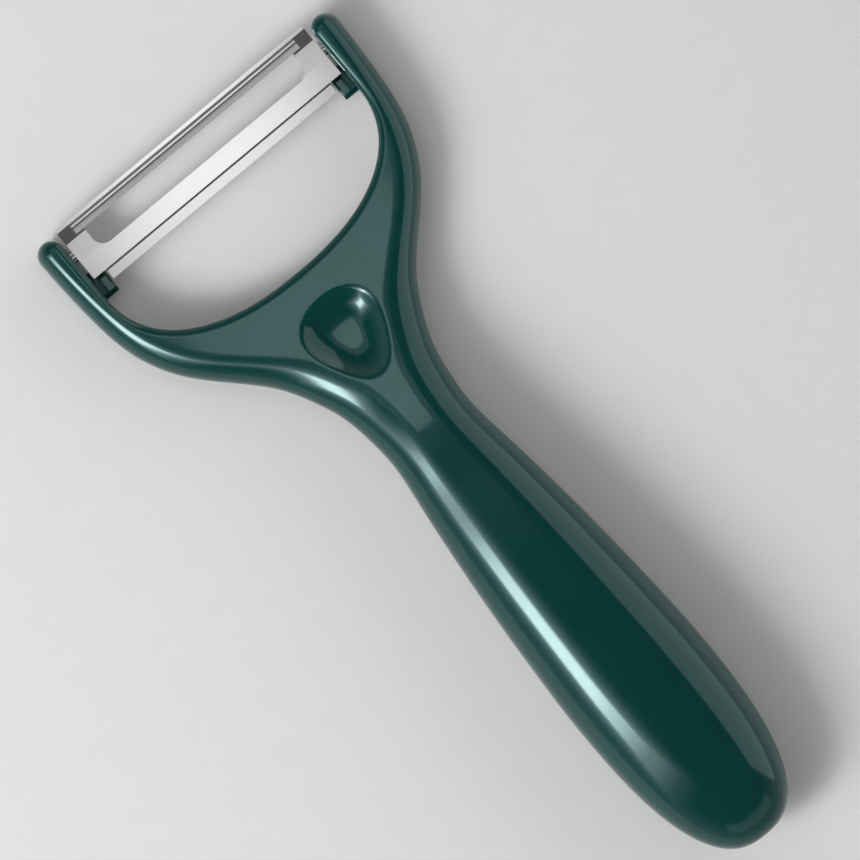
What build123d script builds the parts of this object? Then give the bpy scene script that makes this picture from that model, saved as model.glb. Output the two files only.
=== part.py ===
from build123d import *
import math
import os

# Vegetable peeler: a Y-shaped moulded handle holds a slotted steel blade that swivels in its fork.
# Frame: the peeler lies on its back. +Z is the front, +Y points to the blade, X runs along the blade.
# Origin: the middle of the length and width, at the lowest line of the back.

# Handle, seen from the front
overall_length = 156.2
grip_length_share = 0.5717
butt_length = 33.1
head_width = 66.0
grip_width = 26.4
neck_width = 17.2

# Handle, seen from the side
grip_thickness = 19.5
neck_thickness = 14.0
neck_lift = 2.6
arm_depth = 9.6

# Fork: its two arms and the opening between them
arm_width = 5.0
throat_depth = 31.6
throat_curve = 18.0
throat_edge = 1.4

# Thumb dimple
dimple_length = 15.8
dimple_width = 13.9
dimple_depth = 2.4
dimple_from_tips = 46.0

# Hollow grip, its two welded shells and the pegs that locate them
shell_wall = 2.4
post_diameter = 5.2
rib_thickness = 1.8
peg_diameter = 2.4
peg_length = 1.8
peg_spread = 27.0
peg_clearance = 0.05

# Swivel: pivot pins in blind bores, and the stop lugs beside them
pivot_from_tips = 5.2
pin_diameter = 1.9
pin_clearance = 0.05
pin_engagement = 3.2
pin_end_gap = 0.2
pin_end_chamfer = 0.25
pin_head_diameter = 3.0
pin_head_height = 0.6
lug_from_axis = 3.4
lug_length = 5.6
lug_reach = 2.75
lug_height = 2.2
lug_below_axis = 1.1
lug_chamfer = 0.6

# Blade, folded from one steel strip; reaches are measured from the swivel axis
sheet_thickness = 0.6
blade_end_gap = 0.6
far_reach = 5.44
near_reach = 7.1
guide_reach = 5.05
cutting_edge_reach = 2.8
slot_near_reach = 1.8
cutter_rise = 3.1
guide_rise = 2.5
valley_rise = 2.15
lip_fold_width = 0.35
lip_fold_drop = 0.35
lip_rise = 2.1
slot_from_end = 4.2
slot_corner = 2.2
cutter_from_end = 2.6
hem_width = 0.6
valley_reach = 2.4
fold_reach = 1.4
bead_height = 0.15
bevel_width = 0.7
lug_side_gap = 0.45
ear_depth = 4.0
ear_near_reach = 1.5
ear_far_reach = 1.9
ear_corner = 0.5

# Cuts run this far past the faces that they open
overrun = 2.0

# Places worked out from the sizes
tips_y = overall_length / 2
butt_y = -overall_length / 2
grip_length = overall_length * grip_length_share
neck_y = butt_y + grip_length
belly_y = butt_y + butt_length
pivot_y = tips_y - pivot_from_tips
pivot_z = arm_depth / 2
belly_z = grip_thickness / 2
fork_gap = head_width - 2 * arm_width
blade_length = fork_gap - 2 * blade_end_gap
slot_length = blade_length - 2 * slot_from_end
cutter_length = blade_length - 2 * cutter_from_end

# Shape of the handle, as shares of the sizes above.
# Butt: turns in degrees round the rounded end, whose outline is a superellipse.
butt_turns = (84, 76, 66, 54, 40, 22)
butt_power_share = 2 / 2.6
# Grip: how far along from the belly to the neck, and how much of the swell is left there.
grip_shares = ((0.0, 1.0), (0.22, 0.9), (0.45, 0.71), (0.68, 0.44), (0.86, 0.17))
# Head: at even steps from the neck to the tips, the flare, the drop of the front and the side rounding.
head_shares = (
    (0.000, 0.00, 0.94),
    (0.016, 0.13, 0.96),
    (0.058, 0.30, 1.00),
    (0.150, 0.45, 1.03),
    (0.285, 0.58, 1.00),
    (0.495, 0.70, 0.90),
    (0.708, 0.80, 0.76),
    (0.850, 0.88, 0.64),
    (0.930, 0.94, 0.54),
    (0.966, 0.98, 0.46),
    (0.985, 1.00, 0.41),
    (0.996, 1.00, 0.38),
    (1.000, 1.00, 0.37),
)
grip_flat_share = 0.06
# Throat: turns in degrees round each corner of the U, whose outline is a superellipse.
throat_turns = (0, 12, 28, 45, 62, 78)
throat_power_share = 2 / 2.3
# Cross-section: turns in degrees round one side, then places along the half flat of back and front.
side_turns = (-90, -60, -30, 0, 30, 60, 90)
flat_shares = (0.92, 0.7, 0.3)
# Dimple: radii of its corners and point, then its size at each depth from above the rim to the floor.
dimple_corner_share = 0.27
dimple_point_share = 0.16
dimple_shares = ((1.12, -0.5), (1.0, 0.0), (0.84, 0.6), (0.5, 1.0))
# Posts: how far along the butt and along the grip they stand.
hollow_shares = (0.09, 0.3, 0.51, 0.72, 0.93)
post_butt_share = 0.5
post_neck_share = 0.55


def grip_station(swell):
    """Half width, back height and front height of the grip where this much of its swell is left."""
    half_width = (neck_width + (grip_width - neck_width) * swell) / 2
    back = neck_lift * (1 - swell)
    front = neck_lift + neck_thickness
    front = front + (grip_thickness - front) * swell
    return half_width, back, front


def head_station(flare, drop):
    """Half width, back height and front height of the head."""
    half_width = (neck_width + (head_width - neck_width) * flare) / 2
    front = neck_lift + neck_thickness
    front = front + (arm_depth - front) * drop
    return half_width, neck_lift * (1 - drop), front


# Stations of the handle: place along Y, half width, back, front and side rounding
stations = []
for turn in butt_turns:
    inward = math.cos(math.radians(turn)) ** butt_power_share
    along = math.sin(math.radians(turn)) ** butt_power_share
    y = belly_y - butt_length * along
    half_width = inward * grip_width / 2
    side = half_width * (1 - grip_flat_share)
    stations.append((y, half_width, belly_z * (1 - inward), belly_z * (1 + inward), side))
for along, swell in grip_shares:
    half_width, back, front = grip_station(swell)
    y = belly_y + (neck_y - belly_y) * along
    stations.append((y, half_width, back, front, half_width * (1 - grip_flat_share)))
for step, (flare, drop, rounding) in enumerate(head_shares):
    half_width, back, front = head_station(flare, drop)
    y = neck_y + (tips_y - neck_y) * step / (len(head_shares) - 1)
    stations.append((y, half_width, back, front, rounding * neck_width / 2))


def cross_section(y, half_width, back, front, side):
    """One cross-section of the handle: flat back and front joined by half-elliptical sides."""
    flat = half_width - side
    middle = (back + front) / 2
    height = (front - back) / 2
    right = []
    for turn in side_turns:
        out = flat + side * math.cos(math.radians(turn))
        right.append((out, middle + height * math.sin(math.radians(turn))))
    right += [(flat * share, front) for share in flat_shares]
    back_half = [(flat * share, back) for share in reversed(flat_shares)] + right[:1]
    left = [(-x, z) for x, z in reversed(back_half + right[1:])]
    with BuildSketch(Plane.XZ.offset(-y)) as section:
        with BuildLine():
            Spline(right[1:] + left + back_half, periodic=True)
        make_face()
    return section.sketch


# Fork opening, seen from the front: a flat-bottomed U between the arms
with BuildSketch(Plane.XY.offset(-overrun)) as fork_outline:
    throat_y = tips_y - throat_depth
    arm_wall_y = throat_y + throat_curve
    right_wall = [(fork_gap / 2, tips_y + overrun), (fork_gap / 2, (tips_y + arm_wall_y) / 2)]
    for turn in throat_turns:
        inward = math.cos(math.radians(turn)) ** throat_power_share
        down = math.sin(math.radians(turn)) ** throat_power_share
        right_wall.append((inward * fork_gap / 2, throat_y + throat_curve * (1 - down)))
    left_wall = [(-x, y) for x, y in reversed(right_wall)]
    with BuildLine():
        Spline(right_wall + [(0, throat_y)] + left_wall, tangents=((0, -1), (0, 1)))
        Line(left_wall[-1], right_wall[0])
    make_face()

# Round ends of the two arms: what is cut away outside a half circle as wide as the arm
with BuildSketch(Plane.XY.offset(-overrun)) as tip_outline:
    tip_x = (fork_gap + arm_width) / 2
    with Locations((tip_x, tips_y), (-tip_x, tips_y)):
        Rectangle(arm_width + overrun, arm_width)
    with Locations((tip_x, tips_y - arm_width / 2), (-tip_x, tips_y - arm_width / 2)):
        Circle(arm_width / 2, mode=Mode.SUBTRACT)

# Whole handle before it is parted: a loft from the butt to the arm tips, with the fork cut open
with BuildPart() as handle_blank:
    outer_sections = [cross_section(*station) for station in stations]
    loft(sections=[Vertex(0, butt_y, belly_z)] + outer_sections)
    extrude(fork_outline.sketch, amount=grip_thickness + 2 * overrun, mode=Mode.SUBTRACT)
    rims = handle_blank.edges().filter_by_position(Axis.Y, throat_y - throat_edge, tips_y - overrun)
    fillet(rims, throat_edge)
    extrude(tip_outline.sketch, amount=grip_thickness + 2 * overrun, mode=Mode.SUBTRACT)


def handle_at(y):
    """Half width, back height and front height at any place along the handle."""
    before = max((station for station in stations if station[0] <= y), key=lambda station: station[0])
    after = min((station for station in stations if station[0] > y), key=lambda station: station[0])
    along = (y - before[0]) / (after[0] - before[0])
    return [low + (high - low) * along for low, high in zip(before[1:4], after[1:4])]


# Thumb dimple: a rounded triangle with its point towards the grip, sunk square to the sloping front
dimple_y = tips_y - dimple_from_tips
dimple_z = handle_at(dimple_y)[2]
dimple_drop = handle_at(dimple_y - dimple_length / 2)[2] - handle_at(dimple_y + dimple_length / 2)[2]
dimple_plane = Plane(origin=(0, dimple_y, dimple_z), x_dir=(1, 0, 0), z_dir=(0, dimple_drop, dimple_length))


def dimple_outline(scale, depth):
    """Outline of the dimple at this depth: the hull of two round corners and a round point."""
    corner_radius = scale * dimple_width * dimple_corner_share
    point_radius = scale * dimple_width * dimple_point_share
    corner_x = scale * dimple_width / 2 - corner_radius
    corner_y = scale * dimple_length / 2 - corner_radius
    point_y = scale * dimple_length / 2 - point_radius
    with BuildSketch(dimple_plane.offset(-depth)) as outline:
        with Locations((corner_x, corner_y), (-corner_x, corner_y)):
            Circle(corner_radius)
        with Locations((0, -point_y)):
            Circle(point_radius)
        make_hull()
    return outline.sketch


with BuildPart() as dimple_cutter:
    loft(sections=[dimple_outline(scale, depth * dimple_depth) for scale, depth in dimple_shares])

# Hollow of the grip: an oval loft inside the wall, less the posts and ribs left standing
post_places = [belly_y - butt_length * post_butt_share, belly_y + (neck_y - belly_y) * post_neck_share]
hollow_sections = []
for share in hollow_shares:
    y = butt_y + grip_length * share
    half_width, back, front = handle_at(y)
    with BuildSketch(Plane.XZ.offset(-y)) as hollow_section:
        with Locations((0, (back + front) / 2)):
            Ellipse(half_width - shell_wall, (front - back) / 2 - shell_wall)
    hollow_sections.append(hollow_section.sketch)
with BuildPart() as grip_hollow:
    loft(sections=hollow_sections)
    with Locations(*[(0, y, belly_z) for y in post_places]):
        Cylinder(post_diameter / 2, grip_thickness, mode=Mode.SUBTRACT)
        Box(grip_width, rib_thickness, grip_thickness, mode=Mode.SUBTRACT)

# Parting surface between the two shells: it follows the widest line of the handle
middles = [(y, (back + front) / 2) for y, _, back, front, _ in stations if y > belly_y]
with BuildSketch(Plane.YZ.offset(-head_width)) as back_region:
    with BuildLine():
        flat_start = middles[-3]
        Spline([(belly_y, belly_z)] + middles[:-2], tangents=((1, 0), (1, 0)))
        Polyline(
            flat_start,
            (tips_y + overrun, pivot_z),
            (tips_y + overrun, -grip_thickness),
            (butt_y - overrun, -grip_thickness),
            (butt_y - overrun, belly_z),
            (belly_y, belly_z),
        )
    make_face()
with BuildPart() as back_space:
    extrude(back_region.sketch, amount=2 * head_width)


# Pegs stand on the parting surface: two on the posts, two in the solid shoulders
shoulder_y = tips_y - throat_depth - throat_edge - peg_diameter
peg_places = []
for x, y in [(0, y) for y in post_places] + [(peg_spread / 2, shoulder_y), (-peg_spread / 2, shoulder_y)]:
    back, front = handle_at(y)[1:]
    peg_places.append((x, y, (back + front) / 2))

# Blind bores for the pivot pins, half in each shell
bore_radius = pin_diameter / 2 + pin_clearance
bore_depth = pin_engagement + pin_end_gap
bore_x = (fork_gap + bore_depth - overrun) / 2
with BuildPart() as pivot_bores:
    with Locations((bore_x, pivot_y, pivot_z), (-bore_x, pivot_y, pivot_z)):
        Cylinder(bore_radius, bore_depth + overrun, rotation=(0, 90, 0))

# Stop lugs on the inner faces of the arms: they stop the blade both ways
lug_y = pivot_y - lug_from_axis - lug_length / 2
lug_z = pivot_z - lug_below_axis - lug_height / 2
lug_root = arm_width / 2
lug_x = (fork_gap + lug_root - lug_reach) / 2
with BuildPart() as stop_lugs:
    with Locations((lug_x, lug_y, lug_z), (-lug_x, lug_y, lug_z)):
        Box(lug_reach + lug_root, lug_length, lug_height)
    front_corners = stop_lugs.edges().filter_by(Axis.X).group_by(Axis.Y)[0].group_by(Axis.Z)[-1]
    chamfer(front_corners, lug_chamfer)

with BuildPart() as handle_front_shell:
    add(handle_blank.part)
    add(back_space.part, mode=Mode.SUBTRACT)
    add(grip_hollow.part, mode=Mode.SUBTRACT)
    add(dimple_cutter.part, mode=Mode.SUBTRACT)
    add(pivot_bores.part, mode=Mode.SUBTRACT)
    with Locations(*peg_places):
        Cylinder(peg_diameter / 2 + peg_clearance, 2 * (peg_length + peg_clearance), mode=Mode.SUBTRACT)

with BuildPart() as handle_back_shell:
    add(handle_blank.part)
    add(back_space.part, mode=Mode.INTERSECT)
    add(grip_hollow.part, mode=Mode.SUBTRACT)
    add(stop_lugs.part)
    add(pivot_bores.part, mode=Mode.SUBTRACT)
    with Locations(*peg_places):
        Cylinder(peg_diameter / 2, 2 * peg_length)

# Blade, drawn on planes square to the swivel axis: local x is the reach, local y the rise
def blade_plane(x):
    """Plane across the blade at this place along it, centred on the swivel axis."""
    return Plane(origin=(x, pivot_y, pivot_z), x_dir=(0, 1, 0), z_dir=(1, 0, 0))


# Strip: hem, valley, guide bar, a short fold and the lip below it
strip_tops = [
    (far_reach, cutter_rise),
    (far_reach - hem_width, cutter_rise),
    (valley_reach, valley_rise),
    (-fold_reach, guide_rise),
    (-guide_reach, guide_rise),
    (-guide_reach - lip_fold_width, guide_rise - lip_fold_drop),
    (-near_reach, lip_rise),
]
with BuildSketch(blade_plane(-blade_length / 2)) as strip_section:
    with BuildLine():
        Polyline(strip_tops + [(y, z - sheet_thickness) for y, z in reversed(strip_tops)], close=True)
    make_face()

# Cutter: a hollow-formed bar with a bevelled edge that faces the slot
bead_rise = cutter_rise - bead_height
bevel_reach = cutting_edge_reach + bevel_width
with BuildSketch(blade_plane(-cutter_length / 2)) as cutter_section:
    with BuildLine():
        Polyline(
            (bevel_reach, bead_rise),
            (cutting_edge_reach, cutter_rise - sheet_thickness),
            (bevel_reach, cutter_rise - sheet_thickness - bead_height),
            (far_reach, cutter_rise - sheet_thickness),
            (far_reach, cutter_rise),
            (far_reach - hem_width, cutter_rise),
            (far_reach - hem_width, bead_rise),
        )
        ThreePointArc(
            (far_reach - hem_width, bead_rise),
            ((far_reach - hem_width + bevel_reach) / 2, cutter_rise + bead_height),
            (bevel_reach, bead_rise),
        )
    make_face()

# Slot and the room for the cutter, seen from the front
with BuildSketch(Plane.XY.offset(pivot_z)) as blade_openings:
    slot_middle = (cutting_edge_reach - slot_near_reach) / 2
    with Locations((0, pivot_y + slot_middle)):
        Rectangle(slot_length, cutting_edge_reach + slot_near_reach)
    fillet(blade_openings.vertices().group_by(Axis.Y)[0], slot_corner)
    with Locations((0, pivot_y + cutting_edge_reach)):
        Rectangle(cutter_length, far_reach, align=(Align.CENTER, Align.MIN))

# Ears: the ends of the strip folded down, one plate each with a round hole for its pin
ear_x = blade_length / 2 - sheet_thickness
with BuildSketch(blade_plane(ear_x)) as ear_outline:
    with BuildLine():
        Polyline(
            (-ear_near_reach, guide_rise - sheet_thickness / 2),
            (ear_far_reach, valley_rise - sheet_thickness / 2),
            (ear_far_reach, -ear_depth),
            (-ear_near_reach, -ear_depth),
            close=True,
        )
    make_face()
    fillet(ear_outline.vertices().group_by(Axis.Z)[0].sort_by(Axis.Y)[0], ear_corner)
    fillet(ear_outline.vertices().group_by(Axis.Z)[0].sort_by(Axis.Y)[-1], 2 * ear_corner)
with BuildPart() as ears:
    extrude(ear_outline.sketch, amount=sheet_thickness)
    mirror(about=Plane.YZ)

lip_length = fork_gap - 2 * (lug_reach + lug_side_gap)
notch_length = (blade_length - lip_length) / 2
notch_x = (blade_length + lip_length) / 4
with BuildPart() as peeling_blade:
    extrude(strip_section.sketch, amount=blade_length)
    extrude(blade_openings.sketch, amount=cutter_rise + overrun, mode=Mode.SUBTRACT)
    extrude(cutter_section.sketch, amount=cutter_length)
    with Locations(
        (notch_x, pivot_y - guide_reach, pivot_z),
        (-notch_x, pivot_y - guide_reach, pivot_z),
    ):
        Box(
            notch_length,
            near_reach - guide_reach + overrun,
            cutter_rise + overrun,
            align=(Align.CENTER, Align.MAX, Align.MIN),
            mode=Mode.SUBTRACT,
        )
    add(ears.part)
    with Locations((0, pivot_y, pivot_z)):
        Cylinder(pin_diameter / 2, blade_length, rotation=(0, 90, 0), mode=Mode.SUBTRACT)

# Pivot pins: a head inside the ear, a shank through it, and a free end that turns in the arm
pin_end_x = fork_gap / 2 + pin_engagement
pin_plane = Plane(origin=(0, pivot_y, pivot_z))
with BuildPart() as right_pivot_pin:
    with BuildSketch(pin_plane):
        with BuildLine():
            Polyline(
                (ear_x - pin_head_height, 0),
                (ear_x - pin_head_height, pin_head_diameter / 2),
                (ear_x, pin_head_diameter / 2),
                (ear_x, pin_diameter / 2),
                (pin_end_x - pin_end_chamfer, pin_diameter / 2),
                (pin_end_x, pin_diameter / 2 - pin_end_chamfer),
                (pin_end_x, 0),
                close=True,
            )
        make_face()
    revolve(axis=Axis(pin_plane.origin, (1, 0, 0)))
with BuildPart() as left_pivot_pin:
    mirror(right_pivot_pin.part, about=Plane.YZ)

os.makedirs("parts", exist_ok=True)

handle_front_shell.part.label = "handle_front_shell"
export_step(handle_front_shell.part, "parts/handle_front_shell.step")

handle_back_shell.part.label = "handle_back_shell"
export_step(handle_back_shell.part, "parts/handle_back_shell.step")

peeling_blade.part.label = "peeling_blade"
export_step(peeling_blade.part, "parts/peeling_blade.step")

left_pivot_pin.part.label = "left_pivot_pin"
export_step(left_pivot_pin.part, "parts/left_pivot_pin.step")

right_pivot_pin.part.label = "right_pivot_pin"
export_step(right_pivot_pin.part, "parts/right_pivot_pin.step")
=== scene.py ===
import bmesh
import bpy
import math
import numpy as np
from mathutils import Matrix, Vector


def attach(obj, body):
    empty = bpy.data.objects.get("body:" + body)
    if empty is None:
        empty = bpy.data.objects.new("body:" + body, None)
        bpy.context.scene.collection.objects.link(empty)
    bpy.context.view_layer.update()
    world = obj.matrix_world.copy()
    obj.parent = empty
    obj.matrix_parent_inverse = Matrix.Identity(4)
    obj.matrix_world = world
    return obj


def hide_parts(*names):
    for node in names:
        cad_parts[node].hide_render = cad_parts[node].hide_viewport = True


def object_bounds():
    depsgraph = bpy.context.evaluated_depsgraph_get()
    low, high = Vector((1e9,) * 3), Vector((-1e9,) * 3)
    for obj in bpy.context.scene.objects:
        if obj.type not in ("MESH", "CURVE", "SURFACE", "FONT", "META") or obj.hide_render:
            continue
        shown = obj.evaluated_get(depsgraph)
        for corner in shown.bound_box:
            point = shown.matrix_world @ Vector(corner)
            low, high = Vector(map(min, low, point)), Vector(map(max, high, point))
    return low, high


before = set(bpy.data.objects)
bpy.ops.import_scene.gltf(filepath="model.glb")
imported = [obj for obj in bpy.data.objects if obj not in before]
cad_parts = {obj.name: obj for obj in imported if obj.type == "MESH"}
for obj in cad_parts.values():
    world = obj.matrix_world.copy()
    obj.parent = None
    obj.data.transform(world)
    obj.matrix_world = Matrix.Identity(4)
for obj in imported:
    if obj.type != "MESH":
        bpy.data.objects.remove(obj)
cad_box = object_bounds()

# Front shell. The half of the handle that faces the cook, moulded in dark green plastic: a rounded
# butt, a swollen grip, a slim neck with a thumb dimple, and a head that spreads into two arms round
# a flat-bottomed U. Polished in the mould, it has a wet gloss, a faint orange peel and fine scuffs.
mm = 0.001
butt_y, belly_y, neck_y, tips_y = -78.1, -45.0, 11.2, 78.1
grip_half, neck_half, head_half = 13.2, 8.6, 33.0
neck_back_z, neck_front_z, belly_rise, head_drop = 2.6, 16.6, 2.9, 7.0
butt_power, side_power, grip_rounding = 2.6, 2.25, 0.94
# Along the grip from the belly to the neck: share of the way, share of the swelling.
grip_swell = ((0.0, 1.0), (0.22, 0.9), (0.45, 0.71), (0.68, 0.44), (0.86, 0.17))
# From the neck to the tips in equal steps: flare to the side, drop to the floor, side rounding.
head_spread = (
    (0.000, 0.00, 0.94), (0.016, 0.13, 0.96), (0.058, 0.30, 1.00), (0.150, 0.45, 1.03),
    (0.285, 0.58, 1.00), (0.495, 0.70, 0.90), (0.708, 0.80, 0.76), (0.850, 0.88, 0.64),
    (0.930, 0.94, 0.54), (0.966, 0.98, 0.46), (0.985, 1.00, 0.41), (0.996, 1.00, 0.38),
    (1.000, 1.00, 0.37),
)


def fair_curve(places, values):
    """A smooth curve through these values, level at its first place and free at its last."""
    places, values = np.array(places), np.array(values)
    gaps = np.diff(places)
    rises = np.diff(values) / gaps
    count = len(places)
    table = np.zeros((count, count))
    pull = np.zeros(count)
    table[0, 0], table[0, 1], pull[0] = 2 * gaps[0], gaps[0], 6 * rises[0]
    table[-1, -1] = 1
    for k in range(1, count - 1):
        table[k, k - 1:k + 2] = gaps[k - 1], 2 * (gaps[k - 1] + gaps[k]), gaps[k]
        pull[k] = 6 * (rises[k] - rises[k - 1])
    bends = np.linalg.solve(table, pull)

    def at(y):
        k = np.clip(np.searchsorted(places, y) - 1, 0, count - 2)
        left, right, gap = y - places[k], places[k + 1] - y, gaps[k]
        curve = (bends[k] * right ** 3 + bends[k + 1] * left ** 3) / (6 * gap)
        line = (values[k] / gap - bends[k] * gap / 6) * right
        return curve + line + (values[k + 1] / gap - bends[k + 1] * gap / 6) * left

    return at


stations = []
for along, swell in grip_swell:
    y = belly_y + (neck_y - belly_y) * along
    half = neck_half + (grip_half - neck_half) * swell
    back, front = neck_back_z * (1 - swell), neck_front_z + belly_rise * swell
    stations.append((y, half, back, front, half * grip_rounding))
for step, (flare, drop, rounding) in enumerate(head_spread):
    y = neck_y + (tips_y - neck_y) * step / (len(head_spread) - 1)
    half = neck_half + (head_half - neck_half) * flare
    back, front = neck_back_z * (1 - drop), neck_front_z - head_drop * drop
    stations.append((y, half, back, front, rounding * neck_half))
station_y = [station[0] for station in stations]
half_curve, back_curve, front_curve, side_curve = (
    fair_curve(station_y, [station[k] for station in stations]) for k in (1, 2, 3, 4)
)


def handle_section(y):
    """Half width, back, front and side rounding of the handle at these places."""
    up = np.maximum(y, belly_y)
    end = np.clip((belly_y - y) / (belly_y - butt_y), 0, 1)
    inward = (1 - end ** butt_power) ** (1 / butt_power)
    half = half_curve(up) * inward
    middle = (back_curve(up) + front_curve(up)) / 2
    height = (front_curve(up) - back_curve(up)) / 2 * inward
    return half, middle - height, middle + height, side_curve(up) * inward


# The U between the arms, its rolled rim, and the rounded ends of the arms.
throat_half, throat_y, throat_curve, throat_power = 28.0, 46.5, 18.0, 2.3
throat_steps, past_the_tips = 240, 6
rim_radius = 1.4
arm_low_y, arm_end_y, arm_end_x, arm_end_radius = 64.5, 75.6, 30.5, 2.5


def throat_point(turn):
    """A point of the U, from its middle at 90 degrees to the straight arm wall at 0."""
    power = 2 / throat_power
    x = throat_half * math.cos(math.radians(turn)) ** power if turn < 90 else 0.0
    return x, throat_y + throat_curve * (1 - math.sin(math.radians(turn)) ** power)


throat_edge = [throat_point(turn) for turn in np.linspace(90, 0, throat_steps + 1)]
throat_edge = np.array(throat_edge + [(throat_half, arm_end_y + past_the_tips)])


def from_throat(x, y):
    """Distance from each point to the edge of the U."""
    nearest = np.full(x.shape, np.inf)
    for (ax, ay), (bx, by) in zip(throat_edge[:-1], throat_edge[1:]):
        run = (bx - ax) ** 2 + (by - ay) ** 2
        share = np.clip(((x - ax) * (bx - ax) + (y - ay) * (by - ay)) / run, 0, 1)
        off = np.hypot(x - ax - share * (bx - ax), y - ay - share * (by - ay))
        nearest = np.minimum(nearest, off)
    return nearest


# Rows of points across the handle. From fan_low_y up they fan out, to meet the U squarely.
butt_rows, grip_rows, fan_rows, throat_rows, arm_rows = 44, 80, 110, 100, 26
last_butt_turn = 2
fan_low_y, fan_high_y = 14, 28
throat_row_turns = (0, 15, 30, 45, 60, 75, 90)
throat_row_y = (arm_low_y, 58.8, 53.5, 47.5, 41.5, 35.5, fan_high_y)


def handle_rows():
    """Lines across the right half, each from the outer edge to the centre line or the U."""
    rows = []
    for turn in np.linspace(90, last_butt_turn, butt_rows):
        y = belly_y - (belly_y - butt_y) * math.sin(math.radians(turn)) ** (2 / butt_power)
        rows.append((y, (0.0, y), False))
    for y in np.linspace(belly_y, fan_low_y, grip_rows, endpoint=False):
        rows.append((y, (0.0, y), False))
    for share in np.linspace(0, 1, fan_rows, endpoint=False):
        inner_y = fan_low_y + (throat_y - fan_low_y) * share
        rows.append((fan_low_y + (fan_high_y - fan_low_y) * share, (0.0, inner_y), False))
    for turn in np.linspace(90, 0, throat_rows, endpoint=False):
        outer_y = np.interp(turn, throat_row_turns, throat_row_y)
        rows.append((outer_y, throat_point(turn), True))
    for y in np.linspace(arm_low_y, arm_end_y, arm_rows):
        rows.append((y, (throat_half, y), True))
    return rows


seam_tuck = 0.05
wall_steps, tip_steps = 4, 16


def half_shell(side, across, carve):
    """Points and faces of the right half of a shell: side is 1 for the front, -1 for the back."""
    spread = (1 - np.cos(np.pi * np.linspace(0, 1, across))) / 2
    points, walls = [], []
    for outer_y, inner, at_throat in handle_rows():
        outer_half = handle_section(np.array([outer_y]))[0]
        x = outer_half[0] + (inner[0] - outer_half[0]) * spread
        y = outer_y + (inner[1] - outer_y) * spread
        half, back, front, rounding = handle_section(y)
        middle, height = (back + front) / 2, (front - back) / 2
        inset = np.clip((x - (half - rounding)) / np.maximum(rounding, 1e-6), 0, 1)
        rise = height * np.sqrt(np.maximum(1 - inset ** side_power, 0))
        near = np.minimum(from_throat(x, y), rim_radius)
        rise = rise - rim_radius + np.sqrt(rim_radius ** 2 - (rim_radius - near) ** 2)
        rise[0] = 0
        x[0] = max(x[0] - seam_tuck, 0)
        points.append(np.stack([x, y, middle + side * (rise - carve(x, y))], 1))
        down = np.linspace(1, 0, wall_steps + 1)[1:]
        low = middle[-1] + side * np.maximum(rise[-1], 0) * down
        wall = np.stack([np.full(wall_steps, x[-1]), np.full(wall_steps, y[-1]), low], 1)
        walls.append(wall if at_throat else None)
    arm, arm_wall = points[-1].copy(), walls[-1].copy()
    middle = arm_wall[-1, 2]
    for turn in 90 * (1 - np.linspace(1, 0, tip_steps + 1)[1:] ** 2):
        narrow = max(math.cos(math.radians(turn)), 0) if turn < 90 else 0.0
        lift = arm_end_radius * math.sin(math.radians(turn))
        for strip, target in ((arm, points), (arm_wall, walls)):
            end = strip.copy()
            end[:, 0] = arm_end_x + (strip[:, 0] - arm_end_x) * narrow
            end[:, 1] = arm_end_y + lift
            end[:, 2] = middle + (strip[:, 2] - middle) * math.sqrt(narrow)
            target.append(end)
    vertices, faces, row_starts = [], [], []
    for line, wall in zip(points, walls):
        row_starts.append(len(vertices))
        vertices += [tuple(p) for p in line]
        if wall is not None:
            vertices += [tuple(p) for p in wall]
    for k in range(len(points) - 1):
        walled = walls[k] is not None and walls[k + 1] is not None
        for j in range(across + (wall_steps if walled else 0) - 1):
            a, b = row_starts[k] + j, row_starts[k + 1] + j
            face = (a, b, b + 1, a + 1)
            faces.append(face if side > 0 else face[::-1])
    return vertices, faces


weld_distance = 0.002 * mm


def add_shell(name, side, across, carve):
    """One shell of the handle: its right half, mirrored and welded along the centre line."""
    vertices, faces = half_shell(side, across, carve)
    count = len(vertices)
    points = [(x * mm, y * mm, z * mm) for x, y, z in vertices]
    points += [(-x, y, z) for x, y, z in points]
    faces = faces + [tuple(count + k for k in face[::-1]) for face in faces]
    mesh = bpy.data.meshes.new(name)
    mesh.from_pydata(points, [], faces)
    shell = bpy.data.objects.new(name, mesh)
    bpy.context.scene.collection.objects.link(shell)
    bm = bmesh.new()
    bm.from_mesh(mesh)
    bmesh.ops.remove_doubles(bm, verts=bm.verts, dist=weld_distance)
    bm.to_mesh(mesh)
    bm.free()
    mesh.shade_smooth()
    return shell


# The thumb dimple: a rounded triangle, stretched over three circles, with its point to the grip.
dimple_y, dimple_depth = 32.1, 2.4
dimple_circles = ((2.4, 3.1, 4.7), (-2.4, 3.1, 4.7), (0.0, -4.2, 3.7))
dimple_roundness, bowl_power, rim_softness = 12, 3, 0.10
well_outside = 1.6
rim_turns = np.linspace(0, 2 * np.pi, 180, endpoint=False)


def thumb_dimple(x, y):
    """Depth of the dimple below the front: a round bowl whose rim rolls over softly."""
    total = np.zeros(x.shape)
    for turn in rim_turns:
        out_x, out_y = math.cos(turn), math.sin(turn)
        support = max(cx * out_x + cy * out_y + r for cx, cy, r in dimple_circles)
        outward = (x * out_x + (y - dimple_y) * out_y) / support
        total += np.maximum(outward, 0) ** dimple_roundness
    level = np.mean(np.maximum(np.cos(rim_turns), 0) ** dimple_roundness)
    reach = (total / len(rim_turns) / level) ** (1 / dimple_roundness)
    inside = 1 - np.minimum(reach, well_outside) ** bowl_power
    return dimple_depth * rim_softness * np.log1p(np.exp(inside / rim_softness))


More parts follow.
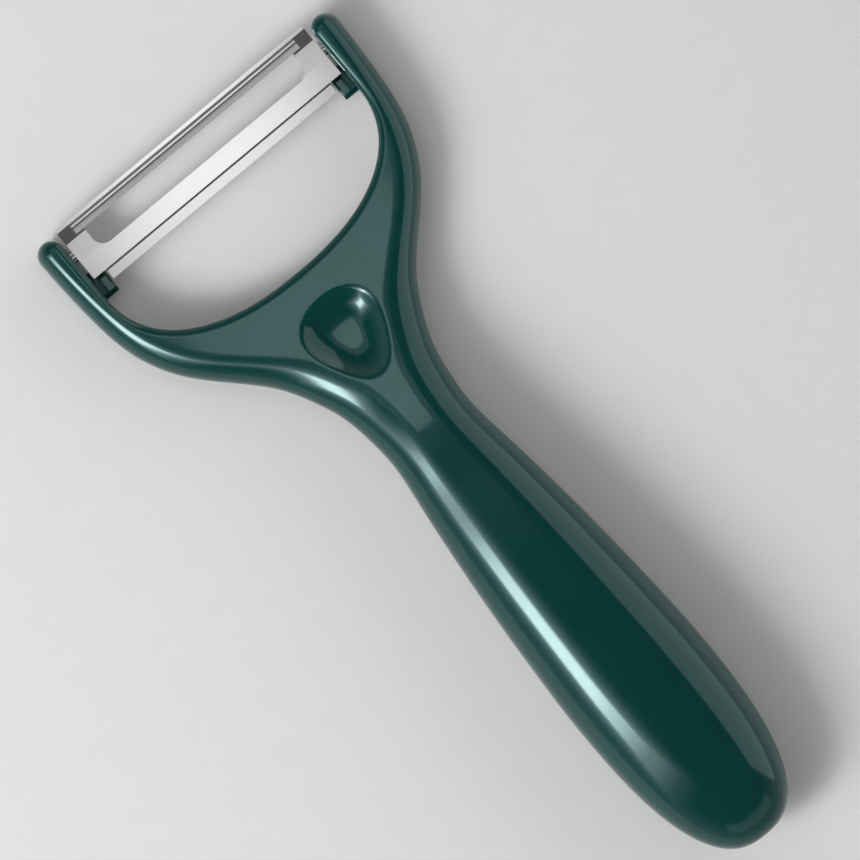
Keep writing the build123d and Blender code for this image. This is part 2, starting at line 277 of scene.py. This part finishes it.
def new_material(name):
    """A new node material: itself, its nodes, its links and its surface shader."""
    material = bpy.data.materials.new(name)
    material.use_nodes = True
    nodes, links = material.node_tree.nodes, material.node_tree.links
    return material, nodes, links, nodes["Principled BSDF"]


def add_noise(nodes, links, scale, detail, stretch=(1, 1, 1)):
    """Noise in the object's own metres, stretched by these shares."""
    place = nodes.new("ShaderNodeTexCoord")
    turn = nodes.new("ShaderNodeMapping")
    turn.inputs["Scale"].default_value = stretch
    noise = nodes.new("ShaderNodeTexNoise")
    noise.inputs["Scale"].default_value = scale
    noise.inputs["Detail"].default_value = detail
    links.new(place.outputs["Object"], turn.inputs["Vector"])
    links.new(turn.outputs["Vector"], noise.inputs["Vector"])
    return noise


def link_tones(nodes, links, source, first, second, target, span=(0, 1)):
    """Colour the target from first to second as the source passes over this span."""
    tones = nodes.new("ShaderNodeValToRGB")
    for element, place, colour in zip(tones.color_ramp.elements, span, (first, second)):
        element.position = place
        element.color = (*colour, 1)
    links.new(source, tones.inputs["Fac"])
    links.new(tones.outputs["Color"], target)


def link_roughness(nodes, links, noise, low, high, shader):
    """Roughness from low to high over the noise's middle values."""
    spread = nodes.new("ShaderNodeMapRange")
    spread.inputs["From Min"].default_value = 0.3
    spread.inputs["From Max"].default_value = 0.7
    spread.inputs["To Min"].default_value = low
    spread.inputs["To Max"].default_value = high
    links.new(noise.outputs["Fac"], spread.inputs["Value"])
    links.new(spread.outputs["Result"], shader.inputs["Roughness"])


def link_bump(nodes, links, noise, depth, strength, shader):
    """Bump of this depth in metres from the noise."""
    bump = nodes.new("ShaderNodeBump")
    bump.inputs["Distance"].default_value = depth
    bump.inputs["Strength"].default_value = strength
    links.new(noise.outputs["Fac"], bump.inputs["Height"])
    links.new(bump.outputs["Normal"], shader.inputs["Normal"])


green_plastic, nodes, links, shader = new_material("polished_green_plastic")
deep_green, light_green = (0.0011, 0.0375, 0.0345), (0.0015, 0.0425, 0.0390)
pigment = add_noise(nodes, links, scale=90, detail=3)
link_tones(nodes, links, pigment.outputs["Fac"], deep_green, light_green,
           shader.inputs["Base Color"], span=(0.3, 0.7))
scuffs = add_noise(nodes, links, scale=900, detail=6)
link_roughness(nodes, links, scuffs, 0.08, 0.12, shader)
orange_peel = add_noise(nodes, links, scale=260, detail=2)
link_bump(nodes, links, orange_peel, depth=0.02 * mm, strength=0.25, shader=shader)
shader.inputs["IOR"].default_value = 1.52
shader.inputs["Specular Tint"].default_value = (0.72, 1.0, 0.99, 1)

front_shell = add_shell("front_shell", 1, 90, thumb_dimple)
front_shell.data.materials.append(green_plastic)
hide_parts("handle_front_shell")
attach(front_shell, "handle")

# Back shell with its stop lugs. The other half of the same moulding, welded to the front along the
# widest line. A small block with a sloped front corner stands out of each arm below the blade.
lug_inner_x, lug_root_x = 25.25, 28.6
lug_low_y, lug_high_y = 63.9, 69.5
lug_low_z, lug_high_z, lug_slope = 1.5, 3.7, 0.6
lug_rounding = 0.25 * mm
lug_profile = [
    (lug_low_y, lug_low_z), (lug_high_y, lug_low_z), (lug_high_y, lug_high_z),
    (lug_low_y + lug_slope, lug_high_z), (lug_low_y, lug_high_z - lug_slope),
]


def no_dimple(x, y):
    """The back is plain."""
    return np.zeros(x.shape)


back_shell = add_shell("back_shell", -1, 40, no_dimple)
back_mesh = bmesh.new()
back_mesh.from_mesh(back_shell.data)
for side in (1, -1):
    ends = []
    for x in (lug_inner_x, lug_root_x):
        corners = [(side * x * mm, y * mm, z * mm) for y, z in lug_profile]
        ends.append([back_mesh.verts.new(corner) for corner in corners])
    lug_faces = [back_mesh.faces.new(ends[0]), back_mesh.faces.new(ends[1][::-1])]
    for k in range(len(lug_profile)):
        after = (k + 1) % len(lug_profile)
        face = (ends[0][k], ends[1][k], ends[1][after], ends[0][after])
        lug_faces.append(back_mesh.faces.new(face))
    bmesh.ops.recalc_face_normals(back_mesh, faces=lug_faces)
    lug_edges = list({edge for face in lug_faces for edge in face.edges})
    bmesh.ops.bevel(back_mesh, geom=lug_edges, offset=lug_rounding, segments=3, profile=0.5,
                    affect="EDGES")
back_mesh.to_mesh(back_shell.data)
back_mesh.free()
back_shell.data.shade_smooth()
back_shell.data.materials.append(green_plastic)
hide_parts("handle_back_shell")
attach(back_shell, "handle")

# Blade. One strip of stainless steel, stamped with a slot, folded along its length and ground to an
# edge where the cutter faces the slot. The grinding leaves a fine grain that runs along the blade.
blade_steel, nodes, links, shader = new_material("ground_stainless_steel")
grain = add_noise(nodes, links, scale=1, detail=3, stretch=(40, 24000, 24000))
link_tones(nodes, links, grain.outputs["Fac"], (0.62, 0.62, 0.615), (0.70, 0.70, 0.69),
           shader.inputs["Base Color"], span=(0.3, 0.7))
link_roughness(nodes, links, grain, 0.20, 0.28, shader)
link_bump(nodes, links, grain, depth=0.004 * mm, strength=0.15, shader=shader)
shader.inputs["Metallic"].default_value = 1.0
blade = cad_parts["peeling_blade"]
blade.data.materials.clear()
blade.data.materials.append(blade_steel)
soft_edges = blade.modifiers.new("soft_edges", "BEVEL")
soft_edges.width = 0.07 * mm
soft_edges.segments = 2
soft_edges.limit_method = "ANGLE"
soft_edges.angle_limit = math.radians(30)

# Pivot pins. Two short pins of bright drawn steel, headed inside the ears of the blade. Each turns
# in a blind bore in its arm, and only a stub shows between the blade and the arm.
pin_steel, nodes, links, shader = new_material("drawn_pin_steel")
draw_marks = add_noise(nodes, links, scale=1, detail=3, stretch=(400, 5000, 5000))
link_tones(nodes, links, draw_marks.outputs["Fac"], (0.50, 0.50, 0.50), (0.64, 0.64, 0.63),
           shader.inputs["Base Color"])
link_roughness(nodes, links, draw_marks, 0.16, 0.28, shader)
link_bump(nodes, links, draw_marks, depth=0.004 * mm, strength=0.3, shader=shader)
shader.inputs["Metallic"].default_value = 1.0
for name in ("left_pivot_pin", "right_pivot_pin"):
    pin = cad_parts[name]
    pin.data.materials.clear()
    pin.data.materials.append(pin_steel)

# Floor. A plain pale sheet with a hardly visible tooth, wide enough to reach past every view. It
# lies level with the lowest line of the handle's back, where the peeler rests on it.
floor_paint, nodes, links, shader = new_material("pale_floor")
tooth = add_noise(nodes, links, scale=220, detail=4)
link_tones(nodes, links, tooth.outputs["Fac"], (0.77, 0.77, 0.76), (0.80, 0.80, 0.79),
           shader.inputs["Base Color"])
shader.inputs["Roughness"].default_value = 0.7
floor_z, reach = cad_box[0][2], 6
floor_corners = [(side_x * reach, side_y * reach, floor_z)
                 for side_x, side_y in ((-1, -1), (1, -1), (1, 1), (-1, 1))]
floor_mesh = bpy.data.meshes.new("floor")
floor_mesh.from_pydata(floor_corners, [], [(0, 1, 2, 3)])
floor = bpy.data.objects.new("floor", floor_mesh)
bpy.context.scene.collection.objects.link(floor)
floor.data.materials.append(floor_paint)

# Studio light. A dark ceiling over a pale horizon, a softbox on the left that brightens in layers
# towards its middle, a large dim panel on the right, one over the neck, one beyond the butt, and a
# small card close over the blade.
studio = bpy.data.worlds.new("studio")
studio.use_nodes = True
nodes, links = studio.node_tree.nodes, studio.node_tree.links
direction = nodes.new("ShaderNodeTexCoord")
height = nodes.new("ShaderNodeSeparateXYZ")
links.new(direction.outputs["Generated"], height.inputs["Vector"])
pale_horizon, dark_ceiling = (0.45, 0.45, 0.44), (0.08, 0.08, 0.08)
link_tones(nodes, links, height.outputs["Z"], pale_horizon, dark_ceiling,
           nodes["Background"].inputs["Color"], span=(0.1, 0.6))
bpy.context.scene.world = studio


def add_panel(name, place, aim, width, length, power):
    """A rectangular soft light at this place, turned to its aim, its length along the handle."""
    lamp = bpy.data.lights.new(name, "AREA")
    lamp.shape = "RECTANGLE"
    lamp.size, lamp.size_y, lamp.energy = width, length, power
    panel = bpy.data.objects.new(name, lamp)
    panel.visible_camera = False
    bpy.context.scene.collection.objects.link(panel)
    panel.location = place
    towards = Vector(aim) - Vector(place)
    across = Vector((0, 1, 0)).cross(-towards.normalized()).normalized()
    up = (-towards.normalized()).cross(across)
    turned = Matrix((across, up, -towards.normalized())).transposed()
    panel.rotation_euler = turned.to_euler()


def panel_power(glow, width, length):
    """Power that gives a panel of this size this glow."""
    return glow * math.pi * width * length


grip_middle = (0.0, -0.02, 0.01)
# Each layer of the softbox: its own glow, its width and its length. A layer hangs a little nearer
# than the one before, because layers in one plane would hide each other in the gloss.
softbox_x, softbox_z, softbox_step = -0.68, 0.64, 0.008
softbox_layers = (
    (0.1, 1.15, 0.90), (0.15, 1.02, 0.81), (0.25, 0.89, 0.72), (0.5, 0.76, 0.63), (0.8, 0.63, 0.54),
    (1.1, 0.50, 0.45), (1.6, 0.40, 0.34), (2.0, 0.38, 0.30), (2.6, 0.36, 0.25), (3.1, 0.34, 0.21),
    (3.1, 0.32, 0.175), (2.6, 0.29, 0.14), (2.6, 0.26, 0.10), (1.8, 0.22, 0.06),
)
for layer, (glow, width, length) in enumerate(softbox_layers):
    nearer = 1 - softbox_step * layer
    width, length = width * nearer, length * nearer
    place = (softbox_x * nearer, 0.0, softbox_z * nearer)
    power = panel_power(glow, width, length)
    add_panel("left_softbox_%d" % layer, place, grip_middle, width, length, power)
add_panel("right_panel", place=(0.72, 0.0, 0.42), aim=(0.0, 0.0, 0.42),
          width=0.84, length=1.2, power=3.2)
neck_layers, neck_glow, neck_width, neck_end_y = 6, 0.10, 0.34, 0.37
neck_length, neck_shorter, neck_height, neck_lower = 0.34, 0.030, 0.45, 0.006
for layer in range(neck_layers):
    length, high = neck_length - neck_shorter * layer, neck_height - neck_lower * layer
    middle_y = neck_end_y - length / 2
    power = panel_power(neck_glow, neck_width, length)
    add_panel("neck_panel_%d" % layer, (0.0, middle_y, high), (0.0, middle_y, 0.0),
              neck_width, length, power)
add_panel("blade_card", place=(0.0, 0.075, 0.15), aim=(0.0, 0.075, 0.0),
          width=0.050, length=0.050, power=0.0105)
add_panel("butt_panel", place=(0.0, -1.10, 0.55), aim=grip_middle,
          width=1.40, length=0.36, power=0.70)

# Camera. It looks straight down through a long lens, turned so that the handle runs from the upper
# left to the lower right, and sees 146.6 mm across.
camera_height, view_across, aim_z, handle_turn = 1.3, 0.1466, 0.008, 39.8
view_middle_x, view_middle_y = 0.0001, 0.0114
lens = bpy.data.cameras.new("camera")
lens.sensor_width = 36
lens.lens = lens.sensor_width * camera_height / view_across
camera = bpy.data.objects.new("camera", lens)
bpy.context.scene.collection.objects.link(camera)
camera.location = (view_middle_x, view_middle_y, camera_height + aim_z)
camera.rotation_euler = (0, 0, -math.radians(handle_turn))
bpy.context.scene.camera = camera
bpy.context.scene.view_settings.view_transform = "Standard"
